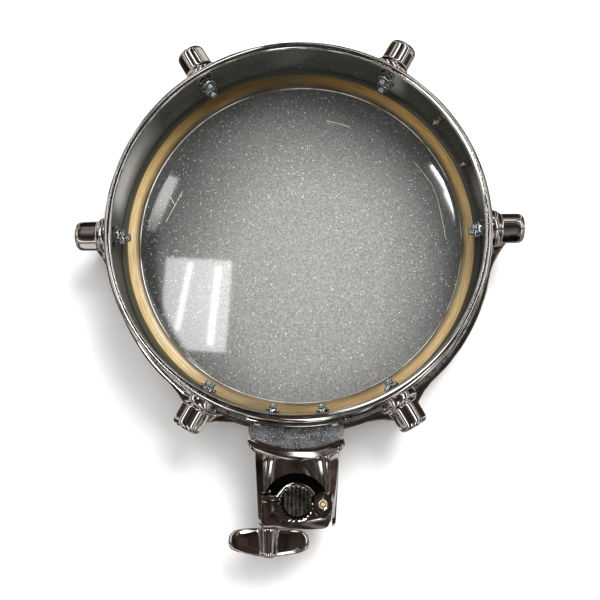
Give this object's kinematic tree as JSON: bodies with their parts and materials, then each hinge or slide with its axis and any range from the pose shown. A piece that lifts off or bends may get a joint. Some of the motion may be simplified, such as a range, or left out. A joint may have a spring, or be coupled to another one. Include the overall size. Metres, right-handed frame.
{
  "type": "tom tom drum",
  "caption": "Shallow single-headed concert tom with a steel shell, plywood ring, flanged hoop, turret lugs and a hinged clamp bracket with a wing nut.",
  "frame": {"origin": "centre of the bounding box on the plane that the batter hoop's rim rests on; the drum's own axis stands 39.15 mm from it along +Y", "axes": "+Z from the batter hoop up to the open end of the shell, -Y towards the clamp bracket and its wing nut, +X to the right seen from above with the bracket towards the viewer"},
  "size_m": [0.2992, 0.3464, 0.06],
  "materials": {
    "shell_steel": "polished, with soft reflections",
    "chrome": "dark mirror chrome",
    "zinc": "bluish zinc plating",
    "brass": "satin",
    "plywood": "varnished, fine ply lines",
    "sealant": "semi-gloss black",
    "film": "glossy smoky film with fine pale specks",
    "aluminium": "satin",
    "rubber": "dusty black",
    "black_metal": "semi-gloss black"
  },
  "bodies": {
    "drum": {"badge_plate": "chrome", "badge_screw_left": "zinc", "badge_screw_right": "zinc", "batter_head_film": "film", "batter_hoop": "chrome", "bracket_body": "chrome", "bracket_gasket": "rubber", "clamp_saddle": "black_metal", "flesh_hoop": "aluminium", "jaw_hinge_pin": "brass", "lug_bolt_lower_1": "zinc", "lug_bolt_lower_2": "zinc", "lug_bolt_lower_3": "zinc", "lug_bolt_lower_4": "zinc", "lug_bolt_lower_5": "zinc", "lug_bolt_lower_6": "zinc", "lug_bolt_upper_1": "zinc", "lug_bolt_upper_2": "zinc", "lug_bolt_upper_3": "zinc", "lug_bolt_upper_4": "zinc", "lug_bolt_upper_5": "zinc", "lug_bolt_upper_6": "zinc", "lug_casting_1": "chrome", "lug_casting_2": "chrome", "lug_casting_3": "chrome", "lug_casting_4": "chrome", "lug_casting_5": "chrome", "lug_casting_6": "chrome", "lug_insert_1": "brass", "lug_insert_2": "brass", "lug_insert_3": "brass", "lug_insert_4": "brass", "lug_insert_5": "brass", "lug_insert_6": "brass", "mount_bolt_left": "zinc", "mount_bolt_right": "zinc", "mount_plate": "chrome", "plate_screw_left": "zinc", "plate_screw_right": "zinc", "plywood_ring": "plywood", "ring_adhesive_bead": "sealant", "rod_washer_1": "zinc", "rod_washer_2": "zinc", "rod_washer_3": "zinc", "rod_washer_4": "zinc", "rod_washer_5": "zinc", "rod_washer_6": "zinc", "socket_liner": "black_metal", "steel_shell": "shell_steel", "wing_bolt": "zinc"},
    "tension_rod_1": {"tension_rod_1": "chrome"},
    "tension_rod_2": {"tension_rod_2": "chrome"},
    "tension_rod_3": {"tension_rod_3": "chrome"},
    "tension_rod_4": {"tension_rod_4": "chrome"},
    "tension_rod_5": {"tension_rod_5": "chrome"},
    "tension_rod_6": {"tension_rod_6": "chrome"},
    "clamp_jaw": {"clamp_jaw": "chrome"},
    "wing_washer": {"wing_washer": "zinc"},
    "wing_nut": {"wing_nut": "chrome"}
  },
  "joints": [
    {"name": "rod_spin_1", "type": "hinge", "parent": "drum", "child": "tension_rod_1", "pos_m": [0.139, 0.03915, 0.03], "axis": [0, 0, 1], "continuous": true},
    {"name": "rod_spin_2", "type": "hinge", "parent": "drum", "child": "tension_rod_2", "pos_m": [0.0695, 0.15953, 0.03], "axis": [0, 0, 1], "continuous": true},
    {"name": "rod_spin_3", "type": "hinge", "parent": "drum", "child": "tension_rod_3", "pos_m": [-0.0695, 0.15953, 0.03], "axis": [0, 0, 1], "continuous": true},
    {"name": "rod_spin_4", "type": "hinge", "parent": "drum", "child": "tension_rod_4", "pos_m": [-0.139, 0.03915, 0.03], "axis": [0, 0, 1], "continuous": true},
    {"name": "rod_spin_5", "type": "hinge", "parent": "drum", "child": "tension_rod_5", "pos_m": [-0.0695, -0.08123, 0.03], "axis": [0, 0, 1], "continuous": true},
    {"name": "rod_spin_6", "type": "hinge", "parent": "drum", "child": "tension_rod_6", "pos_m": [0.0695, -0.08123, 0.03], "axis": [0, 0, 1], "continuous": true},
    {"name": "wing_washer_slide", "type": "slide", "parent": "drum", "child": "wing_washer", "axis": [-0.0122, -0.9999, 0], "range_m": [0, 0.003]},
    {"name": "wing_nut_spin", "type": "hinge", "parent": "wing_washer", "child": "wing_nut", "pos_m": [-0.02064, -0.16061, 0.034], "axis": [-0.0122, -0.9999, 0], "range_deg": [0, 1085]},
    {"name": "jaw_hinge", "type": "hinge", "parent": "drum", "child": "clamp_jaw", "pos_m": [0.01483, -0.13854, 0.034], "axis": [0, 0, 1], "range_deg": [0, 4.1]}
  ],
  "couplings": [
    {"joint": "wing_nut_spin", "follows": "wing_washer_slide", "rad_per_m": 6283.2},
    {"joint": "jaw_hinge", "follows": "wing_washer_slide", "rad_per_m": 23.271}
  ]
}
